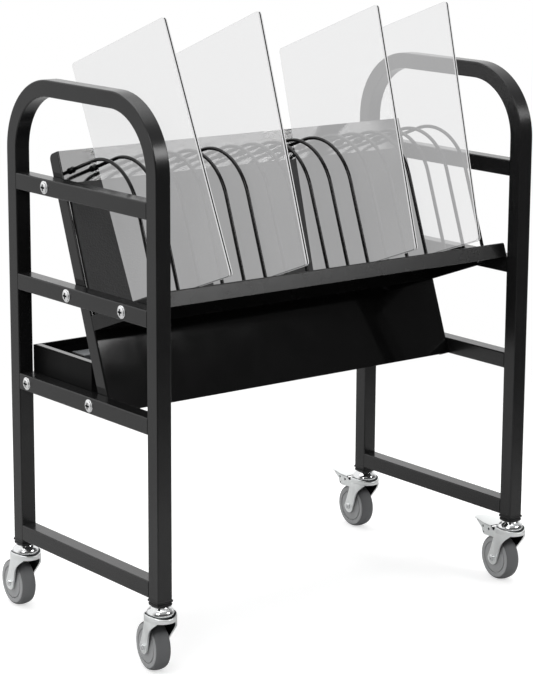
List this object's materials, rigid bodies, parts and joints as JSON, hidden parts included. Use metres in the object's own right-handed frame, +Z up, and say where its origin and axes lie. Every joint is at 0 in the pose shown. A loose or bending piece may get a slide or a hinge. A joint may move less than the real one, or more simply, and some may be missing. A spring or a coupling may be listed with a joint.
{
  "type": "laptop charging cart",
  "caption": "Open charging cart: two hooped square-tube end frames on swivel casters carry a tilted shelf with wire dividers, a padded back panel and a cable tray with a power strip",
  "frame": {"origin": "On the floor, at the middle of the whole cart's length and depth, with the brake pedals and the standing devices counted in", "axes": "+X along the cart's length to the braked side, +Y from the open front of the rack to the cable tray behind it, +Z up"},
  "size_m": [0.7488, 0.5035, 0.9489],
  "materials": {
    "black_frame": "semi-gloss black powder coat",
    "black_sheet": "semi-gloss black powder coat on sheet steel",
    "black_wire": "glossy black powder coat on bent wire",
    "black_pad": "matt black sheet with a fine pebbled texture",
    "strip_grey": "satin grey enamel",
    "strip_black": "matt black moulding",
    "strip_white": "satin white moulding",
    "zinc_hardware": "bright zinc plate",
    "black_plug": "matt black moulded nylon",
    "caster_zinc": "bright zinc plate on pressed steel",
    "wheel_core": "light grey moulded wheel centre",
    "wheel_tread": "grey thermoplastic rubber tread",
    "device_clear": "translucent pale grey sheet with polished edges"
  },
  "bodies": {
    "cart": {"back_panel": "black_sheet", "back_pad": "black_pad", "shelf": "black_sheet", "divider_wires_left": "black_wire", "divider_wires_middle": "black_wire", "divider_wires_right": "black_wire", "wire_knobs": "black_wire", "cable_tray": "black_sheet", "power_strip_housing": "strip_grey", "power_strip_end_caps": "strip_black", "power_strip_outlet_band": "strip_black", "power_strip_base_band": "strip_white", "power_outlets": "strip_black", "power_strip_brackets": "zinc_hardware", "power_inlet": "strip_black", "frame_screws": "zinc_hardware", "frame_nuts": "zinc_hardware", "left_hoop": "black_frame", "left_bottom_rail": "black_frame", "left_lower_rail": "black_frame", "left_middle_rail": "black_frame", "left_top_rail": "black_frame", "right_hoop": "black_frame", "right_bottom_rail": "black_frame", "right_lower_rail": "black_frame", "right_middle_rail": "black_frame", "right_top_rail": "black_frame", "front_left_plug": "black_plug", "front_left_stem": "caster_zinc", "front_right_plug": "black_plug", "front_right_stem": "caster_zinc", "rear_left_plug": "black_plug", "rear_left_stem": "caster_zinc", "rear_right_plug": "black_plug", "rear_right_stem": "caster_zinc"},
    "front_left_swivel_body": {"front_left_fork": "caster_zinc", "front_left_axle": "caster_zinc"},
    "front_left_wheel_body": {"front_left_hub": "wheel_core", "front_left_tyre": "wheel_tread"},
    "front_right_swivel_body": {"front_right_fork": "caster_zinc", "front_right_axle": "caster_zinc", "front_right_brake_pin": "caster_zinc"},
    "front_right_wheel_body": {"front_right_hub": "wheel_core", "front_right_tyre": "wheel_tread"},
    "front_right_brake_body": {"front_right_brake_pedal": "caster_zinc"},
    "rear_left_swivel_body": {"rear_left_fork": "caster_zinc", "rear_left_axle": "caster_zinc"},
    "rear_left_wheel_body": {"rear_left_hub": "wheel_core", "rear_left_tyre": "wheel_tread"},
    "rear_right_swivel_body": {"rear_right_fork": "caster_zinc", "rear_right_axle": "caster_zinc", "rear_right_brake_pin": "caster_zinc"},
    "rear_right_wheel_body": {"rear_right_hub": "wheel_core", "rear_right_tyre": "wheel_tread"},
    "rear_right_brake_body": {"rear_right_brake_pedal": "caster_zinc"},
    "device_1_body": {"device_1": "device_clear"},
    "device_2_body": {"device_2": "device_clear"},
    "device_3_body": {"device_3": "device_clear"},
    "device_4_body": {"device_4": "device_clear"}
  },
  "joints": [
    {"name": "front_left_swivel", "type": "hinge", "parent": "cart", "child": "front_left_swivel_body", "pos_m": [-0.3504, -0.20437, 0.09], "axis": [0, 0, 1], "continuous": true},
    {"name": "front_left_spin", "type": "hinge", "parent": "front_left_swivel_body", "child": "front_left_wheel_body", "pos_m": [-0.34665, -0.18066, 0.0375], "axis": [0.9877, -0.1564, 0], "continuous": true},
    {"name": "front_right_swivel", "type": "hinge", "parent": "cart", "child": "front_right_swivel_body", "pos_m": [0.3504, -0.20437, 0.09], "axis": [0, 0, 1], "continuous": true},
    {"name": "front_right_spin", "type": "hinge", "parent": "front_right_swivel_body", "child": "front_right_wheel_body", "pos_m": [0.35274, -0.18048, 0.0375], "axis": [0.9952, -0.0976, 0], "continuous": true},
    {"name": "front_right_brake", "type": "hinge", "parent": "front_right_swivel_body", "child": "front_right_brake_body", "pos_m": [0.35157, -0.19242, 0.08], "axis": [-0.9952, 0.0976, 0], "range_deg": [0, 8]},
    {"name": "rear_left_swivel", "type": "hinge", "parent": "cart", "child": "rear_left_swivel_body", "pos_m": [-0.3504, 0.16483, 0.09], "axis": [0, 0, 1], "continuous": true},
    {"name": "rear_left_spin", "type": "hinge", "parent": "rear_left_swivel_body", "child": "rear_left_wheel_body", "pos_m": [-0.34902, 0.18879, 0.0375], "axis": [0.9983, -0.0576, 0], "continuous": true},
    {"name": "rear_right_swivel", "type": "hinge", "parent": "cart", "child": "rear_right_swivel_body", "pos_m": [0.3504, 0.16483, 0.09], "axis": [0, 0, 1], "continuous": true},
    {"name": "rear_right_spin", "type": "hinge", "parent": "rear_right_swivel_body", "child": "rear_right_wheel_body", "pos_m": [0.35166, 0.1888, 0.0375], "axis": [0.9986, -0.0523, 0], "continuous": true},
    {"name": "rear_right_brake", "type": "hinge", "parent": "rear_right_swivel_body", "child": "rear_right_brake_body", "pos_m": [0.35103, 0.17682, 0.08], "axis": [-0.9986, 0.0523, 0], "range_deg": [0, 8]},
    {"name": "device_1_lift", "type": "slide", "parent": "cart", "child": "device_1_body", "axis": [-0.0594, 0.3414, 0.938], "range_m": [0, 0.24]},
    {"name": "device_2_lift", "type": "slide", "parent": "cart", "child": "device_2_body", "axis": [0.0244, 0.3419, 0.9394], "range_m": [0, 0.24]},
    {"name": "device_3_lift", "type": "slide", "parent": "cart", "child": "device_3_body", "axis": [0.068, 0.3412, 0.9375], "range_m": [0, 0.24]},
    {"name": "device_4_lift", "type": "slide", "parent": "cart", "child": "device_4_body", "axis": [0.1018, 0.3402, 0.9348], "range_m": [0, 0.24]}
  ]
}
